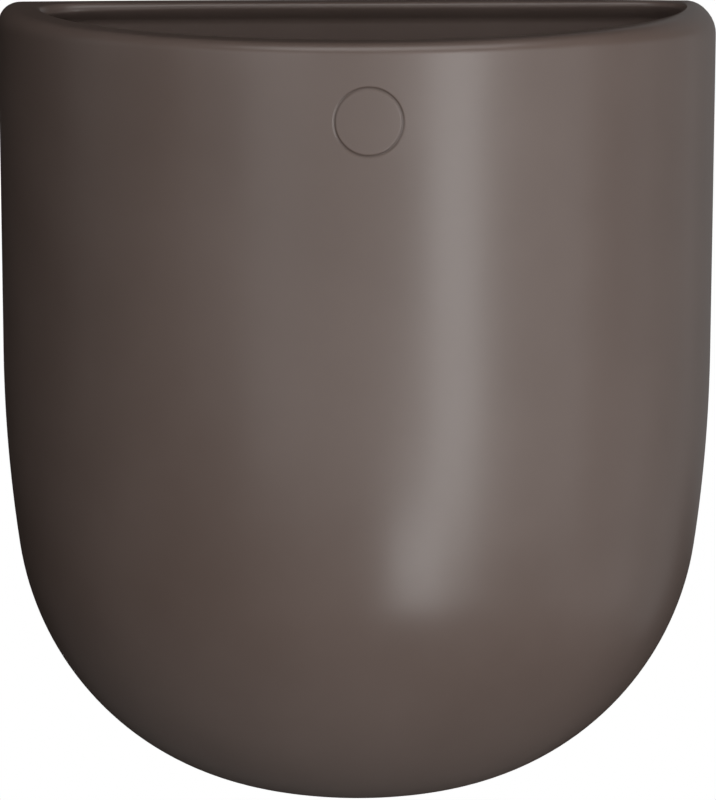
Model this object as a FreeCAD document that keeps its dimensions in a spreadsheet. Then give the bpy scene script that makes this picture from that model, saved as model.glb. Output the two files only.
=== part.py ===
# Hanging wall vase: a half-round slip-cast cup closed by a flat slab, hung by a keyhole on one wall screw.
# Frame: origin where the screw's axis meets the wall, +X right, +Y into the wall, +Z up.
# Lengths are in millimetres and angles in degrees.
import FreeCAD, Part
import math
import os

import Sketcher
from FreeCAD import Placement, Rotation, Vector

# Driving sizes: name, value, what it is
SIZES = [
    # Cup, measured down from the rim's top
    ("mouth_radius", 90, "outside of the cup at the rim"),
    ("body_height", 201, "rim to lowest point"),
    ("wall_draft", 0.42, "inward lean of the upper wall, degrees"),
    ("belly_radius", 369, "slow curve below the upper wall"),
    ("belly_turn", 7.7, "turn of the belly, degrees"),
    ("shoulder_radius", 73, "quick curve towards the bottom"),
    ("shoulder_turn", 67.2, "turn of the shoulder, degrees"),
    ("cup_wall", 8, "half-round wall"),
    ("axis_offset", 11, "slab's back face to the cup's centre line"),
    ("back_wall", 8, "flat slab"),
    ("back_edge_round", 6, "outer edge of the slab"),
    ("inner_corner_round", 14, "inside, between cup and slab"),
    # Rolled lip that stands into the mouth
    ("lip_height", 4.3, "depth of the bead"),
    ("lip_overhang", 1.6, "bead proud of the inner wall"),
    ("lip_outer_round", 4.8, "outer top edge"),
    ("lip_inner_round", 2.8, "inner top edge"),
    ("lip_under_round", 1.2, "lower edge of the bead"),
    # Keyhole in the slab
    ("hang_drop", 34, "rim to the screw's axis"),
    ("lift_travel", 14, "seat to the entry hole's centre"),
    ("slot_clearance", 0.2, "slot round the bush"),
    ("entry_clearance", 1.2, "entry hole round the bush's flange"),
    ("keyhole_corner_round", 2, "corners where slot and entry hole meet"),
    ("keyhole_edge_round", 1, "glaze-softened edges"),
    # Pressed ring on the front
    ("ring_drop", 18.9, "rim to the ring's centre"),
    ("ring_radius", 8.8, "middle of the groove"),
    ("groove_width", 0.6, "pressed groove"),
    ("groove_depth", 0.35, "pressed groove"),
    # Pads between slab and wall
    ("pad_radius", 6, "self-adhesive pad"),
    ("pad_thickness", 2, "gap between slab and wall"),
    ("pad_edge_round", 0.7, "moulded edge on the wall side"),
    ("upper_pad_inset", 28, "cup's side to an upper pad's centre, level with the screw"),
    ("lower_pad_inset", 42, "cup's side to a lower pad's centre"),
    ("lower_pad_rise", 56, "vase's lowest point up to a lower pad's centre"),
    # Wall screw, 5 mm
    ("shank_radius", 2.5, "plain shank and crest of the thread"),
    ("root_radius", 1.75, "root of the thread"),
    ("thread_pitch", 2.2, "one turn"),
    ("crest_width", 0.3, "thread at its crest"),
    ("flank_width", 1.1, "thread at its root"),
    ("shank_depth", 4, "wall surface to the end of the plain shank"),
    ("screw_reach", 40, "wall surface to the point"),
    ("point_length", 5, "pointed end"),
    ("head_radius", 4.9, "pan head"),
    ("head_height", 3.3, "pan head"),
    ("head_rim", 1, "upright edge under the dome"),
    ("recess_span", 5.2, "cross recess, tip to tip"),
    ("recess_width", 1.1, "arm of the cross"),
    ("recess_depth", 1.8, "cross recess"),
    # Nylon wall plug, 8 mm
    ("plug_radius", 4, "hole drilled in the wall"),
    ("plug_length", 42, "wall surface to the plug's end"),
    ("bore_clearance", 0.1, "screw in the plug's bore"),
    ("collar_radius", 5.4, "rim that stops at the wall"),
    ("collar_thickness", 0.8, "rim that stops at the wall"),
    ("nose_length", 3, "tapered end"),
    ("nose_inset", 0.7, "radius lost at the end"),
    ("slit_width", 1, "slits that let the plug spread"),
    ("slit_depth", 13, "wall surface to the slits"),
    ("rib_depth", 15, "wall surface to the first groove"),
    ("rib_count", 5, "grooves"),
    ("rib_pitch", 4.5, "groove spacing"),
    ("rib_width", 1.8, "groove mouth"),
    ("rib_cut", 0.5, "groove depth"),
    # Flanged bush between screw and slab
    ("bush_wall", 1, "sleeve"),
    ("bush_clearance", 0.05, "running fit on the shank"),
    ("flange_radius", 6.2, "flange under the screw's head"),
    ("flange_thickness", 1.2, "flange under the screw's head"),
    ("flange_round", 0.3, "flange's edges"),
    ("end_play", 0.2, "each end of the bush, and flange to slab"),
    # Cutters
    ("overrun", 3, "cutter past the face it cuts"),
]

# Fits worked out from the sizes above
FITS = [
    ("back_face", "axis_offset", "slab's back, behind the cup's centre line"),
    ("slab_face", "axis_offset - back_wall", "slab's inner face"),
    ("mouth_edge", "mouth_radius - cup_wall - lip_overhang", "inside of the lip, round side"),
    ("mouth_back", "axis_offset - back_wall - lip_overhang", "inside of the lip, slab side"),
    ("lip_corner_round", "inner_corner_round - lip_overhang", "corners of the mouth, in plan"),
    ("cutter_reach", "mouth_radius + overrun", "past the cup on any side"),
    ("cutter_depth", "body_height + overrun", "past the cup's bottom"),
    ("sleeve_bore", "shank_radius + bush_clearance", "bush on the shank"),
    ("sleeve_radius", "shank_radius + bush_clearance + bush_wall", "outside of the bush"),
    ("slot_radius", "sleeve_radius + slot_clearance", "half the keyhole slot"),
    ("entry_radius", "flange_radius + entry_clearance", "keyhole entry"),
    ("entry_drop", "hang_drop + lift_travel", "rim to the entry's centre"),
    ("ring_inner", "ring_radius - groove_width / 2", "groove's inner edge"),
    ("ring_outer", "ring_radius + groove_width / 2", "groove's outer edge"),
    ("upper_pad_spread", "mouth_radius - upper_pad_inset", "centre line to an upper pad"),
    ("lower_pad_spread", "mouth_radius - lower_pad_inset", "centre line to a lower pad"),
    ("lower_pad_height", "hang_drop - body_height + lower_pad_rise", "lower pads, from the screw's level"),
    ("flange_back", "pad_thickness + back_wall + end_play", "wall to the flange's rear face"),
    ("flange_front", "flange_back + flange_thickness", "wall to the flange's front face"),
    ("head_under", "flange_front + end_play", "wall to the head's underside"),
    ("head_brim", "head_under + head_rim", "wall to the start of the dome"),
    ("head_top", "head_under + head_height", "wall to the top of the head"),
    ("dome_rise", "head_height - head_rim", "dome above its edge"),
    ("dome_radius", "(head_radius ^ 2 + dome_rise ^ 2) / (2 * dome_rise)", "dome's sphere"),
    ("point_start", "screw_reach - point_length", "wall to the start of the point"),
    ("recess_floor", "head_top - recess_depth", "wall to the recess's floor"),
    ("thread_foot", "root_radius - crest_width", "thread's inner edge, sunk in the core"),
    ("flank_low", "shank_depth + flank_width / 2", "thread's first turn"),
    ("flank_high", "flank_low + flank_width", "thread's first turn"),
    ("crest_low", "flank_low + (flank_width - crest_width) / 2", "thread's first turn"),
    ("crest_high", "crest_low + crest_width", "thread's first turn"),
    ("thread_rise", "point_start - flank_high", "first turn to last"),
    ("recess_tip", "recess_span / 2", "axis to an arm's end"),
    ("recess_side", "recess_width / 2", "axis to an arm's side"),
    ("plug_bore", "shank_radius + bore_clearance", "plug's hole"),
    ("nose_start", "plug_length - nose_length", "wall to the taper"),
    ("nose_radius", "plug_radius - nose_inset", "plug's end"),
    ("sleeve_rear", "collar_thickness + end_play", "wall to the bush's rear end"),
    ("slit_side", "slit_width / 2", "axis to a slit's side"),
    ("slit_end", "plug_length + overrun", "past the plug's end"),
    ("rib_floor", "plug_radius - rib_cut", "bottom of a gripping groove"),
    ("rib_mouth", "plug_radius + rib_cut", "outside the plug, where a groove's cutter starts"),
    ("rib_low", "rib_depth - rib_width", "groove's cutter, outer corner"),
    ("rib_high", "rib_depth + rib_width", "groove's cutter, outer corner"),
    ("rib_span", "rib_pitch * (rib_count - 1)", "first groove to last"),
]

TOUCH = 1e-3  # two places closer than this are the same place

doc = FreeCAD.newDocument("hanging_wall_vase")
sheet = doc.addObject("Spreadsheet::Sheet", "sizes")
for row, (alias, value, note) in enumerate(SIZES + FITS, start=1):
    formula = f"={value}" if isinstance(value, str) else str(value)
    sheet.set(f"A{row}", alias)
    sheet.set(f"B{row}", formula)
    sheet.setAlias(f"B{row}", alias)
    sheet.set(f"C{row}", note)
doc.recompute()
size = {alias: float(sheet.get(alias)) for alias, value, note in SIZES + FITS}


def term(name):
    """A size by name, with or without a leading minus: its number and its expression."""
    sign, alias = (-1, name[1:]) if name.startswith("-") else (1, name)
    return sign * size[alias], f"{'-' if sign < 0 else ''}{sheet.Name}.{alias}"


def new_body(label, placement=Placement()):
    body = doc.addObject("PartDesign::Body", label)
    body.Label = label
    body.Placement = placement
    return body


def new_sketch(body, name, role):
    """A sketch on one of the body's own base planes: XY_Plane, XZ_Plane or YZ_Plane."""
    sketch = body.newObject("Sketcher::SketchObject", name)
    plane = next(f for f in body.Origin.OriginFeatures if f.Role == role)
    sketch.AttachmentSupport = [(plane, "")]
    sketch.MapMode = "FlatFace"
    return sketch


def bind(sketch, kind, where, number, expression):
    """One driving constraint and the expression that holds it."""
    index = sketch.addConstraint(Sketcher.Constraint(kind, *where, number))
    sketch.setExpression(f"Constraints[{index}]", expression)


def constrain(sketch, kind, where, name):
    """One driving constraint held to a single size."""
    bind(sketch, kind, where, *term(name))


def place(sketch, edge, end, across, up):
    """Hold one end of an edge at named distances from the sketch's origin; 0 puts it on an axis."""
    for kind, name in (("DistanceX", across), ("DistanceY", up)):
        if name:
            constrain(sketch, kind, (-1, 1, edge, end), name)
        else:
            axis = -2 if kind == "DistanceX" else -1
            sketch.addConstraint(Sketcher.Constraint("PointOnObject", edge, end, axis))


def join(sketch, edges, closed=True):
    """Each edge's end on the next edge's start."""
    following = edges[1:] + edges[:1] if closed else edges[1:]
    for edge, after in zip(edges, following):
        sketch.addConstraint(Sketcher.Constraint("Coincident", edge, 2, after, 1))


def point(across, up):
    return Vector(term(across)[0] if across else 0, term(up)[0] if up else 0, 0)


def polygon(sketch, corners):
    """Closed outline with straight sides through (across, up) pairs of size names."""
    spots = [point(*corner) for corner in corners]
    edges = [
        sketch.addGeometry(Part.LineSegment(start, end), False)
        for start, end in zip(spots, spots[1:] + spots[:1])
    ]
    join(sketch, edges)
    for edge, corner in zip(edges, corners):
        place(sketch, edge, 1, *corner)
    return edges


def circle(sketch, up, radius):
    """Circle on the sketch's vertical axis."""
    middle = point(0, up)
    edge = sketch.addGeometry(Part.Circle(middle, Vector(0, 0, 1), size[radius]), False)
    place(sketch, edge, 3, 0, up)
    constrain(sketch, "Radius", (edge,), radius)
    return edge


def feature(body, kind, name, sketch=None, **settings):
    """One modelling step. Settings that are size names are bound to the sheet."""
    made = body.newObject(f"PartDesign::{kind}", name)
    if sketch:
        made.Profile = sketch
    for setting, value in settings.items():
        if isinstance(value, str) and value.lstrip("-") in size:
            number, expression = term(value)
            setattr(made, setting, number)
            made.setExpression(setting, expression)
        else:
            setattr(made, setting, value)
    doc.recompute()
    return made


def revolve(body, name, sketch, kind="Revolution"):
    """Full turn about the sketch's vertical axis."""
    return feature(body, kind, name, sketch, ReferenceAxis=(sketch, ["V_Axis"]), Angle=360)


def cut(body, kind, name, sketch, **settings):
    """A feature that removes material; stops if it removed none."""
    before = body.Tip.Shape.Volume
    if kind == "Groove":
        made = revolve(body, name, sketch, kind)
    else:
        made = feature(body, kind, name, sketch, **settings)
    if not made.Shape.Volume < before:
        raise RuntimeError(f"{name} cut nothing")
    return made


def edges_where(shape, test):
    """Names of the edges whose start, middle and end all pass the test."""
    names = []
    for number, edge in enumerate(shape.Edges, start=1):
        first, last = edge.ParameterRange
        spots = [edge.valueAt(first + (last - first) * share) for share in (0.05, 0.5, 0.95)]
        if all(test(spot) for spot in spots):
            names.append(f"Edge{number}")
    return names


def fillet(body, name, radius, test):
    base = body.Tip
    names = edges_where(base.Shape, test)
    if not names:
        raise RuntimeError(f"{name} found no edge")
    return feature(body, "Fillet", name, Base=(base, names), Radius=radius)


def near(a, b):
    return math.isclose(a, b, abs_tol=TOUCH)


def cup_outline(sketch, inset=None):
    """Half outline of the cup, or of one inside it by an inset: a leaning line and three tangent arcs."""
    skin = size[inset] if inset else 0
    less = f" - {sheet.Name}.{inset}" if inset else ""
    lean = math.radians(size["wall_draft"])
    belly_end = lean + math.radians(size["belly_turn"])
    shoulder_end = belly_end + math.radians(size["shoulder_turn"])
    brim = size["mouth_radius"] - skin / math.cos(lean)
    depth = size["body_height"] - skin
    belly = size["belly_radius"] - skin
    shoulder = size["shoulder_radius"] - skin

    # The bottom arc is centred on the axis, so the straight wall takes up what height is left
    inwards = belly * (math.cos(lean) - math.cos(belly_end))
    inwards += shoulder * (math.cos(belly_end) - math.cos(shoulder_end))
    downwards = belly * (math.sin(belly_end) - math.sin(lean))
    downwards += shoulder * (math.sin(shoulder_end) - math.sin(belly_end))
    flatness = (1 - math.sin(shoulder_end)) / math.cos(shoulder_end)
    straight = (depth - downwards - (brim - inwards) * flatness) / (1 - math.tan(lean) * flatness)
    bottom = (brim - straight * math.tan(lean) - inwards) / math.cos(shoulder_end)

    def line(start, end):
        return sketch.addGeometry(Part.LineSegment(start, end), False)

    def arc(centre, radius, start, end):
        round_face = Part.Circle(centre, Vector(0, 0, 1), radius)
        return sketch.addGeometry(Part.ArcOfCircle(round_face, -end, -start), False)

    def outward(angle):
        return Vector(math.cos(angle), -math.sin(angle), 0)

    rim_point = Vector(brim, 0, 0)
    wall_point = Vector(brim - straight * math.tan(lean), -straight, 0)
    belly_centre = wall_point - outward(lean) * belly
    shoulder_centre = belly_centre + outward(belly_end) * (belly - shoulder)
    rim = line(Vector(0, 0, 0), rim_point)
    wall = line(rim_point, wall_point)
    belly_arc = arc(belly_centre, belly, lean, belly_end)
    shoulder_arc = arc(shoulder_centre, shoulder, belly_end, shoulder_end)
    bottom_arc = arc(Vector(0, bottom - depth, 0), bottom, shoulder_end, math.pi / 2)
    axis = line(Vector(0, -depth, 0), Vector(0, 0, 0))

    for where in ((rim, 1, -1, 1), (rim, 2, wall, 1), (bottom_arc, 1, axis, 1), (axis, 2, rim, 1)):
        sketch.addConstraint(Sketcher.Constraint("Coincident", *where))
    smooth = ((wall, 2, belly_arc, 2), (belly_arc, 1, shoulder_arc, 2), (shoulder_arc, 1, bottom_arc, 2))
    for where in smooth:
        sketch.addConstraint(Sketcher.Constraint("Tangent", *where))
    sketch.addConstraint(Sketcher.Constraint("Horizontal", rim))
    sketch.addConstraint(Sketcher.Constraint("PointOnObject", bottom_arc, 3, -2))
    sketch.addConstraint(Sketcher.Constraint("PointOnObject", bottom_arc, 1, -2))
    draft = f"{sheet.Name}.wall_draft * 1 deg"
    less_across = f"{less} / cos({draft})" if inset else ""
    bind(sketch, "DistanceX", (-1, 1, rim, 2), brim, f"{sheet.Name}.mouth_radius{less_across}")
    bind(sketch, "DistanceY", (bottom_arc, 1, -1, 1), depth, f"{sheet.Name}.body_height{less}")
    bind(sketch, "Angle", (wall,), -math.pi / 2 - lean, f"-90 deg - {draft}")
    bind(sketch, "Radius", (belly_arc,), belly, f"{sheet.Name}.belly_radius{less}")
    bind(sketch, "Radius", (shoulder_arc,), shoulder, f"{sheet.Name}.shoulder_radius{less}")
    bind(sketch, "Angle", (belly_arc,), belly_end - lean, f"{sheet.Name}.belly_turn * 1 deg")
    bind(sketch, "Angle", (shoulder_arc,), shoulder_end - belly_end, f"{sheet.Name}.shoulder_turn * 1 deg")


def cup(name, inset=None):
    """A body whose first feature is the whole round cup, before the wall side is cut off."""
    body = new_body(name)
    profile = new_sketch(body, f"{name}_profile", "XZ_Plane")
    cup_outline(profile, inset)
    revolve(body, f"{name}_round", profile)
    return body


def cut_flat(body, name, face):
    """Cut away everything on the wall side of an upright plane."""
    beyond = new_sketch(body, f"{name}_area", "XY_Plane")
    reach = "cutter_reach"
    polygon(beyond, [(f"-{reach}", face), (reach, face), (reach, reach), (f"-{reach}", reach)])
    cut(body, "Pocket", name, beyond, Length="cutter_depth")


def mouth_outline(sketch):
    """The D of the mouth: round in front, straight along the slab, with rounded corners."""
    edge, back, corner = size["mouth_edge"], size["mouth_back"], size["lip_corner_round"]
    drop = back - corner
    spread = math.sqrt((edge - corner) ** 2 - drop**2)
    turn = math.atan2(drop, spread)

    def arc(across, up, radius, start, end):
        whole = Part.Circle(Vector(across, up, 0), Vector(0, 0, 1), radius)
        return sketch.addGeometry(Part.ArcOfCircle(whole, start, end), False)

    front = arc(0, 0, edge, math.pi - turn, 2 * math.pi + turn)
    right = arc(spread, drop, corner, turn, math.pi / 2)
    slab = sketch.addGeometry(Part.LineSegment(Vector(spread, back, 0), Vector(-spread, back, 0)), False)
    left = arc(-spread, drop, corner, math.pi / 2, math.pi - turn)
    for where in ((front, 2, right, 1), (right, 2, slab, 1), (slab, 2, left, 1), (left, 2, front, 1)):
        sketch.addConstraint(Sketcher.Constraint("Tangent", *where))
    sketch.addConstraint(Sketcher.Constraint("Coincident", front, 3, -1, 1))
    sketch.addConstraint(Sketcher.Constraint("Horizontal", slab))
    constrain(sketch, "Radius", (front,), "mouth_edge")
    constrain(sketch, "Radius", (right,), "lip_corner_round")
    constrain(sketch, "Radius", (left,), "lip_corner_round")
    constrain(sketch, "DistanceY", (-1, 1, slab, 1), "mouth_back")


def cavity():
    """The hollow inside: the cup's inside below the lip, and the narrower mouth through the lip."""
    body = cup("cavity", "cup_wall")
    cut_flat(body, "slab_side", "slab_face")
    under_lip = new_sketch(body, "lip_area", "XZ_Plane")
    reach = "cutter_reach"
    polygon(under_lip, [(f"-{reach}", "-lip_height"), (reach, "-lip_height"), (reach, 0), (f"-{reach}", 0)])
    cut(body, "Pocket", "lip_space", under_lip, Type="ThroughAll", SideType="Symmetric")
    fillet(
        body,
        "inner_corners",
        "inner_corner_round",
        lambda spot: near(spot.y, size["slab_face"]) and not near(spot.z, -size["lip_height"]),
    )
    outline = new_sketch(body, "mouth_outline", "XY_Plane")
    mouth_outline(outline)
    feature(body, "Pad", "mouth", outline, SideType="Two sides", Length="overrun", Length2="lip_height")
    return body


def ring_cutter():
    """A thin tube ending just under the cup's skin, so that the pressed ring is as deep all round."""
    body = new_body("ring_cutter")
    outline = new_sketch(body, "ring_outline", "XZ_Plane")
    circle(outline, "-ring_drop", "ring_outer")
    circle(outline, "-ring_drop", "ring_inner")
    feature(body, "Pad", "ring", outline, Length="cutter_reach")
    subtract(body, cup("ring_core", "groove_depth"))
    return body


def subtract(body, tool):
    """Take a whole other body out of this one."""
    before = body.Tip.Shape.Volume
    made = body.newObject("PartDesign::Boolean", f"less_{tool.Label}")
    made.setObjects([tool])
    made.Type = "Cut"
    doc.recompute()
    if not made.Shape.Volume < before:
        raise RuntimeError(f"{tool.Label} cut nothing")
    return made


def keyhole(body):
    """Round entry hole with a slot above it, cut through the slab, with edges softened as by glaze."""
    entry = new_sketch(body, "entry_outline", "XZ_Plane")
    circle(entry, "-entry_drop", "entry_radius")
    cut(body, "Pocket", "entry_hole", entry, Length="cutter_reach")
    slot = new_sketch(body, "slot_outline", "XZ_Plane")
    slot_outline(slot)
    cut(body, "Pocket", "slot", slot, Length="cutter_reach")
    meeting = math.sqrt(size["entry_radius"] ** 2 - size["slot_radius"] ** 2) - size["entry_drop"]
    fillet(
        body,
        "keyhole_corners",
        "keyhole_corner_round",
        lambda spot: near(abs(spot.x), size["slot_radius"]) and near(spot.z, meeting),
    )
    reach = size["entry_radius"] + size["keyhole_corner_round"]
    for face in ("slab_face", "back_face"):
        fillet(
            body,
            f"keyhole_edge_{face}",
            "keyhole_edge_round",
            lambda spot: near(spot.y, size[face])
            and abs(spot.x) < reach
            and -size["entry_drop"] - reach < spot.z < reach - size["hang_drop"],
        )


def slot_outline(sketch):
    """Round top on the screw's axis, straight sides down to the entry hole's centre."""
    radius = size["slot_radius"]
    top, foot = -size["hang_drop"], -size["entry_drop"]
    whole = Part.Circle(Vector(0, top, 0), Vector(0, 0, 1), radius)
    crown = sketch.addGeometry(Part.ArcOfCircle(whole, 0, math.pi), False)
    corners = [(-radius, top), (-radius, foot), (radius, foot), (radius, top)]
    left, sill, right = [
        sketch.addGeometry(Part.LineSegment(Vector(*start, 0), Vector(*end, 0)), False)
        for start, end in zip(corners, corners[1:])
    ]
    for where in ((crown, 2, left, 1), (right, 2, crown, 1)):
        sketch.addConstraint(Sketcher.Constraint("Tangent", *where))
    join(sketch, [left, sill, right], closed=False)
    sketch.addConstraint(Sketcher.Constraint("Horizontal", sill))
    for side in (left, right):
        sketch.addConstraint(Sketcher.Constraint("Vertical", side))
    place(sketch, crown, 3, 0, "-hang_drop")
    constrain(sketch, "Radius", (crown,), "slot_radius")
    constrain(sketch, "DistanceY", (-1, 1, sill, 1), "-entry_drop")


def vase():
    """Cup and slab in one fired piece: outer form, hollow, pressed ring, keyhole, then the rounded lip."""
    body = cup("vase_body")
    cut_flat(body, "slab_back", "back_face")
    fillet(
        body,
        "back_edges",
        "back_edge_round",
        lambda spot: near(spot.y, size["back_face"]) and not near(spot.z, 0),
    )
    subtract(body, cavity())
    subtract(body, ring_cutter())
    keyhole(body)
    middle_of_lip = (size["mouth_radius"] + size["mouth_edge"]) / 2
    middle_of_slab = (size["back_face"] + size["mouth_back"]) / 2

    def outside(spot):
        return math.hypot(spot.x, spot.y) > middle_of_lip or spot.y > middle_of_slab

    def on_mouth(spot):
        inside_round = math.hypot(spot.x, spot.y) < size["mouth_edge"] + TOUCH
        return inside_round and spot.y < size["mouth_back"] + TOUCH

    def under_lip(spot):
        return near(spot.z, -size["lip_height"]) and on_mouth(spot)

    fillet(body, "lip_outer", "lip_outer_round", lambda spot: near(spot.z, 0) and outside(spot))
    fillet(body, "lip_inner", "lip_inner_round", lambda spot: near(spot.z, 0) and not outside(spot))
    fillet(body, "lip_under", "lip_under_round", under_lip)
    body.setExpression("Placement.Base.y", f"-{sheet.Name}.pad_thickness - {sheet.Name}.axis_offset")
    body.setExpression("Placement.Base.z", f"{sheet.Name}.hang_drop")
    doc.recompute()
    return body


def wall_axis_body(label):
    """A body drawn round its own Z axis, which is laid along the screw's, into the wall."""
    return new_body(label, Placement(Vector(0, 0, 0), Rotation(Vector(1, 0, 0), -90)))


def turned(body, name, corners):
    """Solid of revolution through (radius, depth into the wall) pairs."""
    profile = new_sketch(body, f"{name}_profile", "XZ_Plane")
    polygon(profile, corners)
    return revolve(body, name, profile)


def wall_plug():
    body = wall_axis_body("wall_plug")
    turned(
        body,
        "plug",
        [
            ("plug_bore", "-collar_thickness"),
            ("collar_radius", "-collar_thickness"),
            ("collar_radius", 0),
            ("plug_radius", 0),
            ("plug_radius", "nose_start"),
            ("nose_radius", "plug_length"),
            ("plug_bore", "plug_length"),
        ],
    )
    rib = new_sketch(body, "rib_profile", "XZ_Plane")
    polygon(rib, [("rib_floor", "rib_depth"), ("rib_mouth", "rib_low"), ("rib_mouth", "rib_high")])
    groove = cut(body, "Groove", "rib", rib)
    down = (rib, ["V_Axis"])
    ribs = feature(body, "LinearPattern", "ribs", Originals=[groove], Direction=down, Length="rib_span")
    ribs.setExpression("Occurrences", f"{sheet.Name}.rib_count")
    body.Tip = ribs
    doc.recompute()
    for plane in ("XZ_Plane", "YZ_Plane"):
        slit = new_sketch(body, f"slit_{plane}", plane)
        left, right = "-slit_side", "slit_side"
        polygon(slit, [(left, "slit_depth"), (right, "slit_depth"), (right, "slit_end"), (left, "slit_end")])
        cut(body, "Pocket", f"slits_{plane}", slit, Type="ThroughAll", SideType="Symmetric")
    return body


def wall_screw():
    body = wall_axis_body("wall_screw")
    profile = new_sketch(body, "screw_profile", "XZ_Plane")
    corners = [
        ("head_radius", "-head_brim"),
        ("head_radius", "-head_under"),
        ("shank_radius", "-head_under"),
        ("shank_radius", "shank_depth"),
        ("root_radius", "shank_depth"),
        ("root_radius", "point_start"),
        (0, "screw_reach"),
        (0, "-head_top"),
    ]
    edges = [
        profile.addGeometry(Part.LineSegment(point(*start), point(*end)), False)
        for start, end in zip(corners, corners[1:])
    ]
    join(profile, edges, closed=False)
    for edge, corner in zip(edges, corners):
        place(profile, edge, 1, *corner)
    place(profile, edges[-1], 2, *corners[-1])
    middle = Vector(0, size["dome_radius"] - size["head_top"], 0)
    sweep = math.asin(size["head_radius"] / size["dome_radius"])
    whole = Part.Circle(middle, Vector(0, 0, 1), size["dome_radius"])
    dome = profile.addGeometry(Part.ArcOfCircle(whole, -math.pi / 2, sweep - math.pi / 2), False)
    join(profile, [edges[-1], dome, edges[0]], closed=False)
    profile.addConstraint(Sketcher.Constraint("PointOnObject", dome, 3, -2))
    revolve(body, "screw", profile)
    cross_recess(body)
    thread(body)
    return body


def cross_recess(body):
    arms = (("across", "recess_tip", "recess_side"), ("upright", "recess_side", "recess_tip"))
    for name, wide, tall in arms:
        arm = new_sketch(body, f"recess_{name}_outline", "XY_Plane")
        arm.setExpression("AttachmentOffset.Base.z", f"-{sheet.Name}.recess_floor")
        doc.recompute()
        polygon(arm, [(f"-{wide}", f"-{tall}"), (wide, f"-{tall}"), (wide, tall), (f"-{wide}", tall)])
        cut(body, "Pocket", f"recess_{name}", arm, Length="head_height")


def thread(body):
    """Helical wood-screw thread on the screw's core."""
    flank = new_sketch(body, "thread_profile", "XZ_Plane")
    polygon(
        flank,
        [
            ("thread_foot", "flank_low"),
            ("shank_radius", "crest_low"),
            ("shank_radius", "crest_high"),
            ("thread_foot", "flank_high"),
        ],
    )
    feature(
        body,
        "AdditiveHelix",
        "thread",
        flank,
        ReferenceAxis=(flank, ["V_Axis"]),
        Mode="pitch-height-angle",
        Pitch="thread_pitch",
        Height="thread_rise",
    )


def hanger_bush():
    body = wall_axis_body("hanger_bush")
    turned(
        body,
        "bush",
        [
            ("sleeve_bore", "-flange_front"),
            ("flange_radius", "-flange_front"),
            ("flange_radius", "-flange_back"),
            ("sleeve_radius", "-flange_back"),
            ("sleeve_radius", "-sleeve_rear"),
            ("sleeve_bore", "-sleeve_rear"),
        ],
    )

    def on_flange(spot):
        return near(math.hypot(spot.x, spot.y), size["flange_radius"])

    fillet(body, "flange_edges", "flange_round", on_flange)
    return body


def wall_pad(label, spread, height):
    """Round soft pad stuck to the slab's back; its wall side is rounded."""
    body = wall_axis_body(label)
    outline = new_sketch(body, f"{label}_outline", "XY_Plane")
    circle(outline, 0, "pad_radius")
    feature(body, "Pad", f"{label}_disc", outline, Length="pad_thickness", Reversed=True)
    fillet(body, f"{label}_edge", "pad_edge_round", lambda spot: near(spot.z, 0))
    body.setExpression("Placement.Base.x", term(spread)[1])
    if height:
        body.setExpression("Placement.Base.z", term(height)[1])
    doc.recompute()
    return body


PADS = {
    "bumper_top_left": ("-upper_pad_spread", 0),
    "bumper_top_right": ("upper_pad_spread", 0),
    "bumper_bottom_left": ("-lower_pad_spread", "lower_pad_height"),
    "bumper_bottom_right": ("lower_pad_spread", "lower_pad_height"),
}
pieces = [vase(), wall_screw(), wall_plug(), hanger_bush()]
pieces += [wall_pad(label, *spot) for label, spot in PADS.items()]
doc.recompute()

for thing in doc.Objects:
    if "Invalid" in thing.State or "Error" in thing.State:
        raise RuntimeError(f"{thing.Label} failed to rebuild")
    if thing.TypeId == "Sketcher::SketchObject" and not thing.FullyConstrained:
        raise RuntimeError(f"{thing.Label} isn't fully constrained")
for piece in pieces:
    if piece.Shape.isNull() or not piece.Shape.isValid() or len(piece.Shape.Solids) != 1:
        raise RuntimeError(f"{piece.Label} isn't one sound solid")

os.makedirs("parts", exist_ok=True)
for piece in pieces:
    piece.Shape.exportStep(f"parts/{piece.Label}.step")
    print(f"{piece.Label}: {piece.Shape.Volume / 1000:.2f} cm3")
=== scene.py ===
import math

import bmesh
import bpy
import numpy as np
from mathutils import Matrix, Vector, noise


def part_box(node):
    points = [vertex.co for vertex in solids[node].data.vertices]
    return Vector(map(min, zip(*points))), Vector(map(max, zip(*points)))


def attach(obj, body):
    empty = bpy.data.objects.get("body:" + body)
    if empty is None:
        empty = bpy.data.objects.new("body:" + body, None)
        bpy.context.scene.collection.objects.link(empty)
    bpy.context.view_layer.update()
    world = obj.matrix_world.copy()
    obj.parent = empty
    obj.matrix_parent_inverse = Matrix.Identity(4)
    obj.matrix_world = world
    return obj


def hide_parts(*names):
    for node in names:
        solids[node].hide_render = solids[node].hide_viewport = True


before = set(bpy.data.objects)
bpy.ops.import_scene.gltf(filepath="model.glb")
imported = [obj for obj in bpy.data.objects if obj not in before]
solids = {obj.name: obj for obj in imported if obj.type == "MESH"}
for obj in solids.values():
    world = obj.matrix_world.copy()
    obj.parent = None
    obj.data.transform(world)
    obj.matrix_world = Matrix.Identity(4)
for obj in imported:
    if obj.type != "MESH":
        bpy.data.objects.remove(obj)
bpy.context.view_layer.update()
mm = 0.001
turn = 2 * math.pi
print("stage: frame loaded")


def direction(azimuth, elevation):
    # in degrees, seen from the vase: azimuth 0 is the room in front of it, and 90 is on the viewer's right
    a, e = math.radians(azimuth), math.radians(elevation)
    return Vector((math.sin(a) * math.cos(e), -math.cos(a) * math.cos(e), math.sin(e)))


# The camera stands where the photograph was taken from, a little left of the vase and above it
view = {
    "azimuth": -1.8,
    "elevation": 9.8,
    "distance": 1.6,
    "standsOver": (0, -0.047, -0.066),  # the camera's place is measured from here
    "aimsAt": (-0.00081, -0.047, -0.06117),
    "lens": 290.4,  # in millimetres, as the sensor
    "sensor": 36,
}


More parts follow.
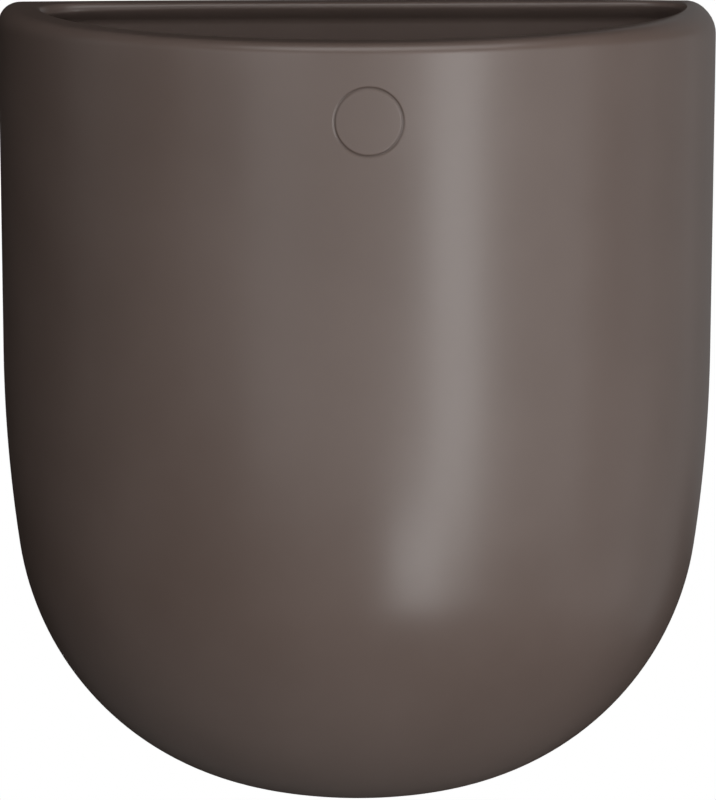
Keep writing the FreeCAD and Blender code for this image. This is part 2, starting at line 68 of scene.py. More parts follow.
def makeCamera():
    camera = bpy.data.objects.new("camera", bpy.data.cameras.new("camera"))
    camera.data.lens = view["lens"]
    camera.data.sensor_width = view["sensor"]
    away = direction(view["azimuth"], view["elevation"])
    camera.location = Vector(view["standsOver"]) + away * view["distance"]
    camera.rotation_mode = "QUATERNION"
    camera.rotation_quaternion = (Vector(view["aimsAt"]) - camera.location).to_track_quat("-Z", "Y")
    bpy.context.scene.collection.objects.link(camera)
    bpy.context.scene.camera = camera


makeCamera()
print("stage: camera")

# One fired pot. Depths run down from the rim, and the cup's own axis is the middle of its half circle.
vaseLow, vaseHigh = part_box("vase_body")
vase = {
    "radius": vaseHigh.x,
    "height": vaseHigh.z - vaseLow.z,
    "rim": vaseHigh.z,
    "flat": 11 * mm,  # back face behind the cup's axis
    "wall": 8 * mm,
    "backWall": 8 * mm,
    "draft": math.radians(0.42),
    "bellyRadius": 369 * mm,
    "bellyTurn": math.radians(7.7),
    "shoulderRadius": 73 * mm,
    "shoulderTurn": math.radians(67.2),
    "backRound": 6 * mm,
    "backRoundLeast": 0.3 * mm,  # what the lip's own round leaves of it at the top
    "innerRound": 14 * mm,
    "lipDepth": 4.6 * mm,
    "lipOverhang": 1.6 * mm,
    "lipOuterRound": 3.0 * mm,  # at the front and the back
    "lipOuterLeft": 2.0 * mm,  # added towards each side
    "lipOuterRight": 4.3 * mm,
    "sidePower": 5,  # how closely the sides keep their rounder edge to themselves
    "lipInnerRound": 1.2 * mm,
    "lipInnerLeft": 0.8 * mm,
    "lipInnerRight": -0.2 * mm,
    "lipNose": 0.2 * mm,  # upright between the inner round and the sloping underside
    "undersideCurve": 1.3,  # 1 is a straight slope, and more is steeper near the nose
    "innerWallStart": 1.2 * mm,  # below the underside
    "crown": 0.06 * mm,  # the lip's top is a touch higher in its middle
    "mouthShift": 1.3 * mm,  # the mouth was trimmed a little to the right
    "shiftFade": 22 * mm,
    "wave": 0.22 * mm,  # slip casting and glazing leave no wall quite true
    "waveLength": 62 * mm,
    "waveStart": (3.1, 0, 7.7),  # where in the noise the pot lies
    "waveClear": 3 * mm,  # no waves this near to the back face, and all of them a fade further on
    "waveFade": 12 * mm,
    "bowlMiddle": -30 * mm,  # in front of the cup's axis
    "columns": 240,
}
rows = {  # rings of vertices on each stretch of the section, from the lowest point outside to the one inside
    "bottom": 12,
    "shoulder": 34,
    "belly": 18,
    "wall": 18,
    "window": 11,
    "lipOuter": 10,
    "lipTop": 3,
    "lipInner": 8,
    "underside": 6,
    "innerWall": 30,
    "bowl": 48,
}
search = {
    "halvings": 36,
    "aim": 3,  # radii in front of the axis, the place that points behind are drawn towards
    "reach": 0.3,  # radii in front of the axis, the furthest that they are drawn
    "least": 1e-9,  # keeps the axis itself out of a division by nothing
}
weld = 0.001 * mm
vaseAxisY = vaseHigh.y - vase["flat"]
columnAngles = np.arange(vase["columns"]) * turn / vase["columns"]


def cupArcs(inset):
    lean = vase["draft"]
    bellyEnd = lean + vase["bellyTurn"]
    shoulderEnd = bellyEnd + vase["shoulderTurn"]
    brim = vase["radius"] - inset / math.cos(lean)
    depth = vase["height"] - inset
    belly, shoulder = vase["bellyRadius"] - inset, vase["shoulderRadius"] - inset
    inwards = belly * (math.cos(lean) - math.cos(bellyEnd))
    inwards += shoulder * (math.cos(bellyEnd) - math.cos(shoulderEnd))
    downwards = belly * (math.sin(bellyEnd) - math.sin(lean))
    downwards += shoulder * (math.sin(shoulderEnd) - math.sin(bellyEnd))
    flatness = (1 - math.sin(shoulderEnd)) / math.cos(shoulderEnd)
    straight = (depth - downwards - (brim - inwards) * flatness) / (1 - math.tan(lean) * flatness)
    bottom = (brim - straight * math.tan(lean) - inwards) / math.cos(shoulderEnd)
    wallEnd = np.array((brim - straight * math.tan(lean), straight))
    bellyCentre = wallEnd - belly * np.array((math.cos(lean), math.sin(lean)))
    shoulderCentre = bellyCentre + (belly - shoulder) * np.array((math.cos(bellyEnd), math.sin(bellyEnd)))
    arcs = [  # centre, radius, angle below level at the start and end
        (bellyCentre, belly, lean, bellyEnd),
        (shoulderCentre, shoulder, bellyEnd, shoulderEnd),
        (np.array((0, depth - bottom)), bottom, shoulderEnd, math.pi / 2),
    ]
    return brim, straight, arcs


def cupDistance(across, depth, inset):
    # how far a place stands outside the round cup, less than nothing inside it
    brim, _, arcs = cupArcs(inset)
    lean = vase["draft"]
    found = (across - brim) * math.cos(lean) + depth * math.sin(lean)
    for centre, radius, start, _ in arcs:
        angle = np.arctan2(depth - centre[1], across - centre[0])
        found = np.where(angle >= start, np.hypot(across - centre[0], depth - centre[1]) - radius, found)
    return found


def roundedMeeting(first, second, radius):
    # distance to two faces that meet in a rounded edge
    corner = np.hypot(np.maximum(first + radius, 0), np.maximum(second + radius, 0))
    return np.minimum(-radius, np.maximum(first, second)) + corner


def halve(inside, outside, isWithin):
    # places inside and outside a form close in on its surface, one pair for each column
    for _ in range(search["halvings"]):
        middle = (inside + outside) / 2
        within = isWithin(middle)
        inside, outside = np.where(within, middle, inside), np.where(within, outside, middle)
    return inside, outside


def drawForward(points, distance):
    # points behind are drawn forward, towards a place far in front, until they lie on the form
    y = points[:, 1]
    across = np.hypot(points[:, 0], y)
    none = np.zeros(len(points))
    aim = np.stack([none, -search["aim"] * across, points[:, 2]], 1)
    limit = -search["reach"] * across
    furthest = np.where(y > limit, (y - limit) / np.maximum(y - aim[:, 1], search["least"]), 0)
    _, outside = halve(furthest, none, lambda share: distance(points + (aim - points) * share[:, None]) < 0)
    return points + (aim - points) * outside[:, None]


def levelRing(radius, depth):
    # a place for each column. The radius and the depth may differ from column to column.
    x, y = radius * np.cos(columnAngles), radius * np.sin(columnAngles)
    return np.stack([x, y, 0 * columnAngles - depth], 1)


def bodyForm(inset, flat, rounding):
    def distance(p):
        cup = cupDistance(np.hypot(p[:, 0], p[:, 1]), -p[:, 2], inset)
        return roundedMeeting(cup, p[:, 1] - flat, rounding)

    return distance


def lipRing(radius, flat, rounding, depth):
    # an upright D, whose sizes may differ from column to column
    def distance(p):
        return roundedMeeting(np.hypot(p[:, 0], p[:, 1]) - radius, p[:, 1] - flat, rounding)

    return drawForward(levelRing(radius, depth), distance)


def mouthRing(inset, depth):
    # the mouth stands in from the inner wall by the lip's overhang, less the inset
    overhang = vase["lipOverhang"] - inset
    flat = vase["flat"] - vase["backWall"] - overhang
    return lipRing(vase["radius"] - vase["wall"] - overhang, flat, vase["innerRound"] - overhang, depth)


def lipRound(edge):
    # the radius of the lip's outer or inner edge, column by column
    left, right = (np.maximum(0, way * np.cos(columnAngles)) ** vase["sidePower"] for way in (-1, 1))
    return vase[f"{edge}Round"] + vase[f"{edge}Left"] * left + vase[f"{edge}Right"] * right


def quarterRound(radius, start, end, count):
    # how far in from the edge's upright side a rounded edge runs, and how deep
    for angle in np.linspace(start, end, count):
        yield radius * (1 - math.sin(angle)), radius * (1 - math.cos(angle)) + vase["crown"]


def shifted(points, share):
    return points + np.array((vase["mouthShift"] * share, 0, 0))


# A thin ring pressed into the front, under the rim
ring = {
    "drop": 18.9 * mm,
    "radius": 8.2 * mm,
    "groove": 0.5 * mm,  # half the pressed line, with its soft shoulders
    "depth": 0.2 * mm,
    "steps": 120,
    "innerReaches": (2.5 * mm, 4.5 * mm, 6.3 * mm),  # where the patch has its rows within the line
    # and where it has them to each side of the line, in grooves
    "lineReaches": (-2.6, -1.8, -1.4, -1.0, -0.7, -0.45, -0.2, 0, 0.2, 0.45, 0.7, 1.0, 1.4, 1.8, 2.6),
    "patch": 10.8 * mm,
    "window": 11.3 * mm,  # half the height of the opening for the patch, which ends below the lip's rounds
    "windowColumns": 5,  # to each side of the front
}
keyhole = {
    "slotRadius": 3.75 * mm,
    "slotDepth": 34 * mm,
    "entryRadius": 7.4 * mm,
    "entryDepth": 48 * mm,
    "cornerRound": 2 * mm,
    "edgeRound": 1 * mm,
    "edgeRows": 5,
    "steps": 96,
    "raysAbove": 3 * mm,  # the outline is found by rays from a place above the entry's middle
    "raysReach": 30 * mm,
    "windowTop": 24 * mm,
    "windowFoot": 62 * mm,
    "windowHalf": 13.2 * mm,
    "flatness": 0.01 * mm,
}


def arcRows():
    # across and depth, from the lowest point up
    found = []
    for (centre, radius, start, end), name in zip(reversed(cupArcs(0)[2]), ("bottom", "shoulder", "belly")):
        for angle in np.linspace(end, start, rows[name], endpoint=False):
            found.append((centre[0] + radius * math.cos(angle), centre[1] + radius * math.sin(angle)))
    found[0] = (0, found[0][1])
    return found


def outerRings():
    # from the lowest point outside up to the lip, with the first and last row that the ring's window opens
    top, foot = ring["drop"] - ring["window"], ring["drop"] + ring["window"]
    depths = list(np.linspace(cupArcs(0)[1], foot, rows["wall"], endpoint=False))
    depths += list(np.linspace(foot, top, rows["window"]))
    places = arcRows() + [(vase["radius"] - depth * math.tan(vase["draft"]), depth) for depth in depths]
    outside = bodyForm(0, vase["flat"], vase["backRound"])
    found = [drawForward(levelRing(across, depth), outside) for across, depth in places]
    return found, (len(found) - rows["window"], len(found) - 1)


def lipRings():
    # from the outer wall over the lip to the end of its sloping underside
    outer = []
    for inset, depth in quarterRound(lipRound("lipOuter"), math.pi / 2, 0, rows["lipOuter"]):
        across = vase["radius"] - depth * math.tan(vase["draft"]) - inset
        rounding = np.maximum(vase["backRound"] - inset, vase["backRoundLeast"])
        outer.append(lipRing(across, vase["flat"] - inset, rounding, depth))
    innerRound = lipRound("lipInner")
    inner = [mouthRing(*place) for place in quarterRound(innerRound, 0, math.pi / 2, rows["lipInner"])]
    top = []
    for share in np.linspace(0, 1, rows["lipTop"] + 2)[1:-1]:
        points = outer[-1] * (1 - share) + inner[0] * share
        points[:, 2] += vase["crown"] * (1 - (2 * share - 1) ** 2)
        top.append(shifted(points, share))
    nose = innerRound + vase["crown"] + vase["lipNose"]
    for share in np.linspace(0, 1, rows["underside"]):
        inset = vase["lipOverhang"] * share ** vase["undersideCurve"]
        inner.append(mouthRing(inset, nose + (vase["lipDepth"] - nose) * share))
    return outer + top + [shifted(points, 1) for points in inner]


def bowlRings(brimRing, form):
    # below the upright inner wall, rays from a place inside find the bowl, so no ring folds over the next
    centre = np.array((0, vase["bowlMiddle"], brimRing[0][2]))
    level = brimRing - centre
    level /= np.linalg.norm(level, axis=1)[:, None]
    none = np.zeros(len(level))
    found = []
    for angle in np.linspace(0, math.pi / 2, rows["bowl"] + 1)[1:]:
        rays = level * math.cos(angle) + np.array((0, 0, -math.sin(angle)))
        reach, _ = halve(none, none + 2 * vase["radius"], lambda far: form(centre + rays * far[:, None]) < 0)
        found.append(centre + rays * reach[:, None])
    return found


def innerRings():
    # from under the lip, whose shift fades with the depth, down to the lowest point inside
    inside = bodyForm(vase["wall"], vase["flat"] - vase["backWall"], vase["innerRound"])
    brim, straight, _ = cupArcs(vase["wall"])
    found = []
    for depth in np.linspace(vase["lipDepth"] + vase["innerWallStart"], straight, rows["innerWall"]):
        points = drawForward(levelRing(brim - depth * math.tan(vase["draft"]), depth), inside)
        found.append(shifted(points, math.exp(-((depth / vase["shiftFade"]) ** 2))))
    return found + bowlRings(points, inside)


def wavy(point):
    # slow unevenness, only ever into the clay, so that the pot keeps its size
    drift = noise.noise(point / vase["waveLength"] + Vector(vase["waveStart"]))
    fade = (vase["flat"] - vase["waveClear"] - point.y) / vase["waveFade"]
    return vase["wave"] * min(1, max(0, 0.5 + 0.5 * drift)) * min(1, max(0, fade))


def ringDepth(reach):
    off = abs(reach - ring["radius"])
    return ring["depth"] * math.cos(math.pi / 2 * min(1, off / ring["groove"])) ** 2


def openLoop(bm, faces):
    # take some faces out and give back the edges round the hole
    edges = {edge for face in faces for edge in face.edges}
    rim = [edge for edge in edges if sum(face in faces for face in edge.link_faces) == 1]
    bmesh.ops.delete(bm, geom=list(faces), context="FACES")
    return rim


def spinPatch(bm):
    # a flat round patch inside the pot, with fine rows at the pressed line
    others = set(bm.verts)
    centre = Vector((0, 0, -ring["drop"]))
    reaches = [0, *ring["innerReaches"]]
    reaches += [ring["radius"] + share * ring["groove"] for share in ring["lineReaches"]]
    line = [bm.verts.new(centre + Vector((reach, 0, 0))) for reach in [*reaches, ring["patch"]]]
    edges = [bm.edges.new(pair) for pair in zip(line, line[1:])]
    bmesh.ops.spin(
        bm, geom=line + edges, cent=centre, axis=(0, 1, 0), dvec=(0, 0, 0),
        angle=turn, steps=ring["steps"], use_merge=True,
    )
    bmesh.ops.remove_doubles(bm, verts=[vert for vert in bm.verts if vert not in others], dist=weld)
    return {vert for vert in bm.verts if vert not in others}


def pressRing(bm, ringLayer, columnLayer, windowRows):
    # the patch is laid on the cup, with the ring pressed into it, and joined to the wall
    front = vase["columns"] * 3 // 4
    low, high = windowRows

    def inWindow(vert):
        return low <= vert[ringLayer] <= high and abs(vert[columnLayer] - front) <= ring["windowColumns"]

    rim = openLoop(bm, {face for face in bm.faces if all(inWindow(vert) for vert in face.verts)})
    patch = spinPatch(bm)
    for vert in patch:
        reach = math.hypot(vert.co.x, vert.co.z + ring["drop"])
        across = vase["radius"] + vert.co.z * math.tan(vase["draft"]) - ringDepth(reach)
        vert.co.y = -math.sqrt(across**2 - vert.co.x**2)
    outermost = [
        edge for edge in bm.edges
        if len(edge.link_faces) == 1 and all(vert in patch for vert in edge.verts)
    ]
    bmesh.ops.bridge_loops(bm, edges=rim + outermost)


def keyholeLoop(bm, offset, y):
    # the outline stands off the keyhole's edge by a distance, in one upright plane
    angles = np.arange(keyhole["steps"]) * turn / keyhole["steps"]
    entry, slot = keyhole["entryDepth"], keyhole["slotDepth"]
    middle = entry - keyhole["raysAbove"]
    rounding = keyhole["cornerRound"]

    def isWithin(reach):
        x, depth = reach * np.cos(angles), middle + reach * np.sin(angles)
        hole = np.hypot(x, depth - entry) - keyhole["entryRadius"]
        groove = np.hypot(x, depth - np.clip(depth, slot, entry)) - keyhole["slotRadius"]
        corner = np.hypot(np.maximum(rounding - hole, 0), np.maximum(rounding - groove, 0))
        return np.maximum(rounding, np.minimum(hole, groove)) - corner < offset

    found, _ = halve(0 * angles, 0 * angles + keyhole["raysReach"], isWithin)
    verts = [bm.verts.new((r * math.cos(a), y, -middle - r * math.sin(a))) for r, a in zip(found, angles)]
    return [bm.edges.new(pair) for pair in zip(verts, verts[1:] + verts[:1])]


def cutKeyhole(bm):
    # a window is opened in both faces of the slab, and the keyhole's walls join the two
    back, inner = vase["flat"], vase["flat"] - vase["backWall"]

    def inWindow(vert, y):
        level = keyhole["windowTop"] < -vert.co.z < keyhole["windowFoot"]
        return level and abs(vert.co.x) < keyhole["windowHalf"] and abs(vert.co.y - y) < keyhole["flatness"]

    windows = []
    for y in (back, inner):
        faces = {face for face in bm.faces if all(inWindow(vert, y) for vert in face.verts)}
        windows.append(openLoop(bm, faces))
    edge = [
        (keyhole["edgeRound"] * (1 - math.sin(angle)), keyhole["edgeRound"] * (1 - math.cos(angle)))
        for angle in np.linspace(0, math.pi / 2, keyhole["edgeRows"])
    ]
    loops = [keyholeLoop(bm, offset, back - depth) for offset, depth in edge]
    loops.append(keyholeLoop(bm, 0, (back + inner) / 2))
    loops += [keyholeLoop(bm, offset, inner + depth) for offset, depth in reversed(edge)]
    for first, second in zip(loops, loops[1:]):
        bmesh.ops.bridge_loops(bm, edges=first + second)
    for window, loop in zip(windows, (loops[0], loops[-1])):
        bmesh.ops.triangle_fill(bm, edges=window + loop, use_beauty=True, normal=(0, 1, 0))


def spinRings(bm, rings, ringLayer, columnLayer):
    # a chain with one vertex for each ring, spread out for this alone, is spun, and then every vertex goes
    # to its own place
    columns = vase["columns"]
    chain = []
    for number, points in enumerate(rings):
        vert = bm.verts.new((abs(points[0][0]) + number * mm, 0, number * mm))
        vert[ringLayer] = number
        chain.append(vert)
    chain[0].co.x = chain[-1].co.x = 0
    edges = [bm.edges.new(pair) for pair in zip(chain, chain[1:])]
    bmesh.ops.spin(
        bm, geom=chain + edges, cent=(0, 0, 0), axis=(0, 0, 1), dvec=(0, 0, 0),
        angle=turn, steps=columns, use_merge=True,
    )
    bmesh.ops.remove_doubles(bm, verts=bm.verts, dist=weld)
    for vert in bm.verts:
        column = round(math.atan2(vert.co.y, vert.co.x) / turn * columns) % columns
        vert[columnLayer] = column
        vert.co = rings[vert[ringLayer]][column]


def buildVase():
    outer, windowRows = outerRings()
    bm = bmesh.new()
    ringLayer = bm.verts.layers.int.new("ring")
    columnLayer = bm.verts.layers.int.new("column")
    spinRings(bm, outer + lipRings() + innerRings(), ringLayer, columnLayer)
    pressRing(bm, ringLayer, columnLayer, windowRows)
    cutKeyhole(bm)
    bmesh.ops.remove_doubles(bm, verts=bm.verts, dist=weld)
    bm.normal_update()
    bmesh.ops.recalc_face_normals(bm, faces=bm.faces)
    bm.normal_update()
    for vert in bm.verts:
        vert.co -= vert.normal * wavy(vert.co)
    bmesh.ops.translate(bm, verts=bm.verts, vec=(0, vaseAxisY, vase["rim"]))
    for face in bm.faces:
        face.smooth = True
    mesh = bpy.data.meshes.new("vaseShell")
    bm.to_mesh(mesh)
    bm.free()
    shell = bpy.data.objects.new("vaseShell", mesh)
    bpy.context.scene.collection.objects.link(shell)
    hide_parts("vase_body")
    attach(shell, "vase")
    print("stage: vase", len(mesh.polygons), "faces")
    return shell


vaseShell = buildVase()


def newMaterial(name):
    material = bpy.data.materials.new(name)
    material.use_nodes = True
    return material, material.node_tree, material.node_tree.nodes["Principled BSDF"]


def makeNoise(tree, place, scale, detail):
    texture = tree.nodes.new("ShaderNodeTexNoise")
    texture.inputs["Scale"].default_value = scale
    texture.inputs["Detail"].default_value = detail
    tree.links.new(place, texture.inputs["Vector"])
    return texture.outputs["Fac"]


def makeRange(tree, value, fromLow, fromHigh, toLow, toHigh):
    mapped = tree.nodes.new("ShaderNodeMapRange")
    for name, number in zip(("From Min", "From Max", "To Min", "To Max"), (fromLow, fromHigh, toLow, toHigh)):
        mapped.inputs[name].default_value = number
    tree.links.new(value, mapped.inputs["Value"])
    return mapped.outputs["Result"]


def spreadNoise(tree, value, low, high):
    # noise keeps to its middle, and nearly all of it lies from 0.3 to 0.7
    return makeRange(tree, value, 0.3, 0.7, low, high)


def makeMath(tree, operation, *values):
    done = tree.nodes.new("ShaderNodeMath")
    done.operation = operation
    for socket, value in zip(done.inputs, values):
        if isinstance(value, (int, float)):
            socket.default_value = value
        else:
            tree.links.new(value, socket)
    return done.outputs["Value"]


def makeMix(tree, share, first, second):
    mixed = tree.nodes.new("ShaderNodeMix")
    mixed.data_type = "RGBA"
    for name, value in (("Factor_Float", share), ("A_Color", first), ("B_Color", second)):
        socket = next(s for s in mixed.inputs if s.identifier == name)
        if isinstance(value, tuple):
            socket.default_value = (*value, 1)
        else:
            tree.links.new(value, socket)
    return next(s for s in mixed.outputs if s.identifier == "Result_Color")


def makeBump(tree, height, finish, shader):
    bump = tree.nodes.new("ShaderNodeBump")
    bump.inputs["Distance"].default_value = finish["bumpHeight"]
    bump.inputs["Strength"].default_value = finish["bumpStrength"]
    tree.links.new(height, bump.inputs["Height"])
    tree.links.new(bump.outputs["Normal"], shader.inputs["Normal"])


def objectPlace(tree):
    return tree.nodes.new("ShaderNodeTexCoord").outputs["Object"]


def makeGrainGroup():
    # soft cloudy tone and a fine grain, for every finish here
    group = bpy.data.node_groups.new("softGrain", "ShaderNodeTree")
    face = group.interface
    face.new_socket("Place", in_out="INPUT", socket_type="NodeSocketVector")
    face.new_socket("Cloud Scale", in_out="INPUT", socket_type="NodeSocketFloat")
    face.new_socket("Grain Scale", in_out="INPUT", socket_type="NodeSocketFloat")
    face.new_socket("Cloud", in_out="OUTPUT", socket_type="NodeSocketFloat")
    face.new_socket("Grain", in_out="OUTPUT", socket_type="NodeSocketFloat")
    entry, leave = group.nodes.new("NodeGroupInput"), group.nodes.new("NodeGroupOutput")
    for name, detail in (("Cloud", 4), ("Grain", 2)):
        texture = group.nodes.new("ShaderNodeTexNoise")
        texture.inputs["Detail"].default_value = detail
        group.links.new(entry.outputs["Place"], texture.inputs["Vector"])
        group.links.new(entry.outputs[f"{name} Scale"], texture.inputs["Scale"])
        group.links.new(texture.outputs["Fac"], leave.inputs[name])
    return group


grainGroup = makeGrainGroup()


def makeGrain(tree, place, finish):
    grain = tree.nodes.new("ShaderNodeGroup")
    grain.node_tree = grainGroup
    grain.inputs["Cloud Scale"].default_value = finish["cloudScale"]
    grain.inputs["Grain Scale"].default_value = finish["grainScale"]
    tree.links.new(place, grain.inputs["Place"])
    return grain.outputs["Cloud"], grain.outputs["Grain"]


glaze = {
    "dark": (0.130, 0.094, 0.080),
    "pale": (0.148, 0.109, 0.094),
    "cloudScale": 26,
    "grainScale": 900,
    "smoothest": 0.32,
    "roughest": 0.37,
    "coat": 0.15,
    "coatRoughness": 0.2,
    "peelScale": 210,
    "peelDetail": 2,
    "pores": 0.12,
    "bumpHeight": 0.05 * mm,
    "bumpStrength": 0.35,
    "lineShade": (0.074, 0.050, 0.041),  # painted shade: the pressed line is coloured darker, standing in for the shade that falls in the groove
    "lineShadeShare": 0.75,
    "lineShadeCore": 0.12 * mm,  # half the line's darkest part
    "lineShadeEdge": 0.5 * mm,
    "lineShadeFront": -100 * mm,  # whole in front of this, and gone before the inner face of the wall
    "lineShadeBack": -98 * mm,
}
clay = {
    "dark": (0.36, 0.27, 0.20),
    "pale": (0.47, 0.36, 0.27),
    "from": -4.2 * mm,  # the slab's back is wiped clean of glaze behind this
    "fade": 0.35 * mm,
    "wander": 0.5 * mm,  # of the glaze's edge, to either side
    "wanderScale": 140,
    "wanderDetail": 3,
    "wanderNoise": (0.2, 0.8),
    "dryness": 0.5,  # added to the roughness
    "pores": 0.9,
}


def ringLine(tree, apart):
    # how much of the ring's painted shade a place takes
    nodes, links = tree.nodes, tree.links
    level = nodes.new("ShaderNodeCombineXYZ")
    links.new(apart.outputs["X"], level.inputs["X"])
    links.new(makeMath(tree, "ADD", apart.outputs["Z"], ring["drop"] - vase["rim"]), level.inputs["Z"])
    reach = nodes.new("ShaderNodeVectorMath")
    reach.operation = "LENGTH"
    links.new(level.outputs["Vector"], reach.inputs[0])
    off = makeMath(tree, "ABSOLUTE", makeMath(tree, "SUBTRACT", reach.outputs["Value"], ring["radius"]))
    front = makeRange(tree, apart.outputs["Y"], glaze["lineShadeFront"], glaze["lineShadeBack"], 1, 0)
    line = makeRange(tree, off, glaze["lineShadeCore"], glaze["lineShadeEdge"], glaze["lineShadeShare"], 0)
    return makeMath(tree, "MULTIPLY", line, front)


def bareClay(tree, place, apart):
    # 0 on the glaze and 1 on the bare back, with a wandering edge
    wander = makeNoise(tree, place, clay["wanderScale"], clay["wanderDetail"])
    edge = makeRange(tree, wander, *clay["wanderNoise"], -clay["wander"], clay["wander"])
    y = makeMath(tree, "ADD", apart.outputs["Y"], edge)
    return makeRange(tree, y, clay["from"], clay["from"] + clay["fade"], 0, 1)


def glazeMaterial():
    material, tree, shader = newMaterial("satinGlaze")
    links = tree.links
    place = objectPlace(tree)
    apart = tree.nodes.new("ShaderNodeSeparateXYZ")
    links.new(place, apart.inputs["Vector"])
    cloud, grain = makeGrain(tree, place, glaze)
    bare = bareClay(tree, place, apart)
    skin = makeMix(tree, spreadNoise(tree, cloud, 0, 1), glaze["dark"], glaze["pale"])
    # painted shade darkens the glaze along the pressed line
    skin = makeMix(tree, ringLine(tree, apart), skin, glaze["lineShade"])
    clayTone = makeMix(tree, spreadNoise(tree, grain, 0, 1), clay["dark"], clay["pale"])
    links.new(makeMix(tree, bare, skin, clayTone), shader.inputs["Base Color"])
    shine = spreadNoise(tree, cloud, glaze["smoothest"], glaze["roughest"])
    dry = makeMath(tree, "MULTIPLY", bare, clay["dryness"])
    links.new(makeMath(tree, "ADD", shine, dry), shader.inputs["Roughness"])
    links.new(makeRange(tree, bare, 0, 1, glaze["coat"], 0), shader.inputs["Coat Weight"])
    shader.inputs["Coat Roughness"].default_value = glaze["coatRoughness"]
    peel = makeNoise(tree, place, glaze["peelScale"], glaze["peelDetail"])
    pores = makeMath(tree, "MULTIPLY", grain, makeRange(tree, bare, 0, 1, glaze["pores"], clay["pores"]))
    makeBump(tree, makeMath(tree, "ADD", peel, pores), glaze, shader)
    return material


zincPlate = {
    "dark": (0.50, 0.50, 0.50),
    "pale": (0.66, 0.66, 0.65),
    "metallic": 1,
    "cloudScale": 420,
    "grainScale": 2600,
    "smoothest": 0.24,
    "roughest": 0.42,
    "bumpHeight": 0.02 * mm,
    "bumpStrength": 0.3,
}
moulded = {
    "metallic": 0,
    "cloudScale": 160,
    "grainScale": 2200,
    "bumpHeight": 0.03 * mm,
    "bumpStrength": 0.4,
}
greyNylon = {
    **moulded,
    "dark": (0.30, 0.30, 0.31),
    "pale": (0.37, 0.37, 0.38),
    "smoothest": 0.42,
    "roughest": 0.54,
}
naturalNylon = {
    **moulded,
    "dark": (0.66, 0.64, 0.58),
    "pale": (0.74, 0.72, 0.66),
    "smoothest": 0.34,
    "roughest": 0.46,
}
padRubber = {
    **moulded,
    "dark": (0.035, 0.035, 0.035),
    "pale": (0.055, 0.055, 0.055),
    "smoothest": 0.69,
    "roughest": 0.81,
}


def grainyMaterial(name, finish):
    material, tree, shader = newMaterial(name)
    cloud, grain = makeGrain(tree, objectPlace(tree), finish)
    tree.links.new(makeMix(tree, cloud, finish["dark"], finish["pale"]), shader.inputs["Base Color"])
    shader.inputs["Metallic"].default_value = finish["metallic"]
    roughness = spreadNoise(tree, grain, finish["smoothest"], finish["roughest"])
    tree.links.new(roughness, shader.inputs["Roughness"])
    makeBump(tree, grain, finish, shader)
    return material


def dress(piece, material):
    piece.data.materials.clear()
    piece.data.materials.append(material)


dress(vaseShell, glazeMaterial())
dress(solids["wall_screw"], grainyMaterial("zincPlate", zincPlate))
dress(solids["wall_plug"], grainyMaterial("greyNylon", greyNylon))
dress(solids["hanger_bush"], grainyMaterial("naturalNylon", naturalNylon))
rubber = grainyMaterial("padRubber", padRubber)
for corner in ("top_left", "top_right", "bottom_left", "bottom_right"):
    dress(solids[f"bumper_{corner}"], rubber)
print("stage: materials")

studio = {
    "ambient": 0,  # the lamps alone light the vase
    "floorDrop": 2.0,
    "floorSpan": 4,
    "floorTone": (0.42, 0.415, 0.41),
    "floorPaler": 1.03,  # the paler of the floor's two tones, times the other
    "floorRoughness": 0.9,
    "cloudScale": 6,
    "grainScale": 300,
    "aimsAt": (0, vaseAxisY, -0.06),
    "lamps": {  # azimuth and elevation of its middle, distance, width, height, watts
        "stripBox": (28.6, -4, 1.5, 0.42, 1.09, 6.15),
        "footBox": (17, -23.5, 1.5, 0.38, 0.12, 1.7),
        "topBox": (10, 60, 2.4, 3.0, 1.4, 27.5),
        "frontBox": (0, 0, 2.4, 3.6, 1.8, 17.5),
        "frontLeftBox": (-38, 8, 2.4, 1.8, 1.4, 5.11),
        "frontRightBox": (55, -4, 2.2, 1.6, 1.4, 6.99),
        "rightBox": (85, -12, 2.0, 1.4, 1.4, 2.27),
        "rearRightBox": (115, -10, 2.0, 1.4, 1.4, 1.69),
        "backRightBox": (150, 8, 2.0, 1.6, 1.6, 1.58),
        "leftBox": (-85, 12, 2.0, 1.4, 1.4, 1.49),
    },
    "behindBox": (180, -10, 1.4, 0.9, 0.6, 11.0),  # another lamp, for the matt back alone
}


def aimedLamp(name, azimuth, elevation, distance, width, height, watts):
    light = bpy.data.lights.new(name, "AREA")
    light.shape = "RECTANGLE"
    light.size, light.size_y = width, height
    light.energy = watts
    lamp = bpy.data.objects.new(name, light)
    away = direction(azimuth, elevation)
    lamp.location = Vector(studio["aimsAt"]) + away * distance
    lamp.rotation_mode = "QUATERNION"
    lamp.rotation_quaternion = (-away).to_track_quat("-Z", "Y")
    lamp.visible_camera = False
    bpy.context.scene.collection.objects.link(lamp)
    return lamp


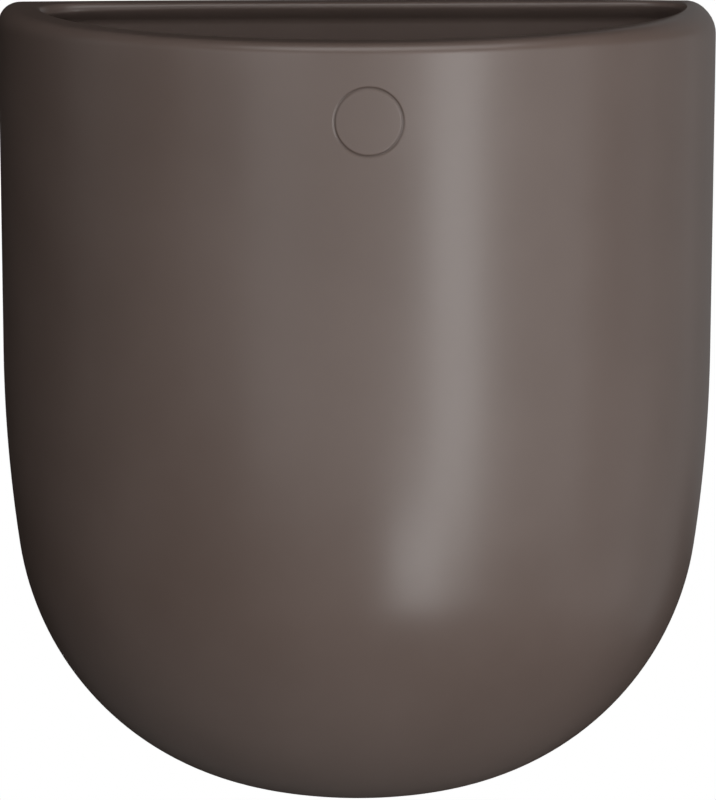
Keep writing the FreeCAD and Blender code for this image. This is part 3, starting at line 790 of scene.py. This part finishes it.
def setStudio():
    for name, values in studio["lamps"].items():
        aimedLamp(name, *values)
    aimedLamp("behindBox", *studio["behindBox"]).visible_glossy = False
    world = bpy.data.worlds.new("studio")
    world.use_nodes = True
    bpy.context.scene.world = world
    nodes, links = world.node_tree.nodes, world.node_tree.links
    nodes.clear()
    path = nodes.new("ShaderNodeLightPath")
    ambient, white = nodes.new("ShaderNodeBackground"), nodes.new("ShaderNodeBackground")
    for background, strength in ((ambient, studio["ambient"]), (white, 1)):
        background.inputs["Color"].default_value = (1, 1, 1, 1)
        background.inputs["Strength"].default_value = strength
    mixed, out = nodes.new("ShaderNodeMixShader"), nodes.new("ShaderNodeOutputWorld")
    links.new(path.outputs["Is Camera Ray"], mixed.inputs["Fac"])
    links.new(ambient.outputs["Background"], mixed.inputs[1])
    links.new(white.outputs["Background"], mixed.inputs[2])
    links.new(mixed.outputs["Shader"], out.inputs["Surface"])


def floorMaterial():
    # the camera sees the floor as white as the background, and nothing of it from below
    material, tree, shader = newMaterial("paleFloor")
    nodes, links = tree.nodes, tree.links
    cloud, _ = makeGrain(tree, objectPlace(tree), studio)
    tone = studio["floorTone"]
    paler = tuple(channel * studio["floorPaler"] for channel in tone)
    links.new(makeMix(tree, cloud, tone, paler), shader.inputs["Base Color"])
    shader.inputs["Roughness"].default_value = studio["floorRoughness"]
    path, facing = nodes.new("ShaderNodeLightPath"), nodes.new("ShaderNodeNewGeometry")
    glow, clear = nodes.new("ShaderNodeEmission"), nodes.new("ShaderNodeBsdfTransparent")
    seen, below = nodes.new("ShaderNodeMixShader"), nodes.new("ShaderNodeMixShader")
    links.new(path.outputs["Is Camera Ray"], seen.inputs["Fac"])
    links.new(shader.outputs["BSDF"], seen.inputs[1])
    links.new(glow.outputs["Emission"], seen.inputs[2])
    links.new(facing.outputs["Backfacing"], below.inputs["Fac"])
    links.new(seen.outputs["Shader"], below.inputs[1])
    links.new(clear.outputs["BSDF"], below.inputs[2])
    links.new(below.outputs["Shader"], nodes["Material Output"].inputs["Surface"])
    return material


def makeFloor():
    bm = bmesh.new()
    bmesh.ops.create_grid(bm, x_segments=1, y_segments=1, size=studio["floorSpan"])
    bmesh.ops.translate(bm, verts=bm.verts, vec=(0, 0, vaseLow.z - studio["floorDrop"]))
    mesh = bpy.data.meshes.new("floor")
    bm.to_mesh(mesh)
    bm.free()
    floor = bpy.data.objects.new("floor", mesh)
    bpy.context.scene.collection.objects.link(floor)
    dress(floor, floorMaterial())


setStudio()
makeFloor()
bpy.context.scene.view_settings.view_transform = "Standard"
print("stage: studio")
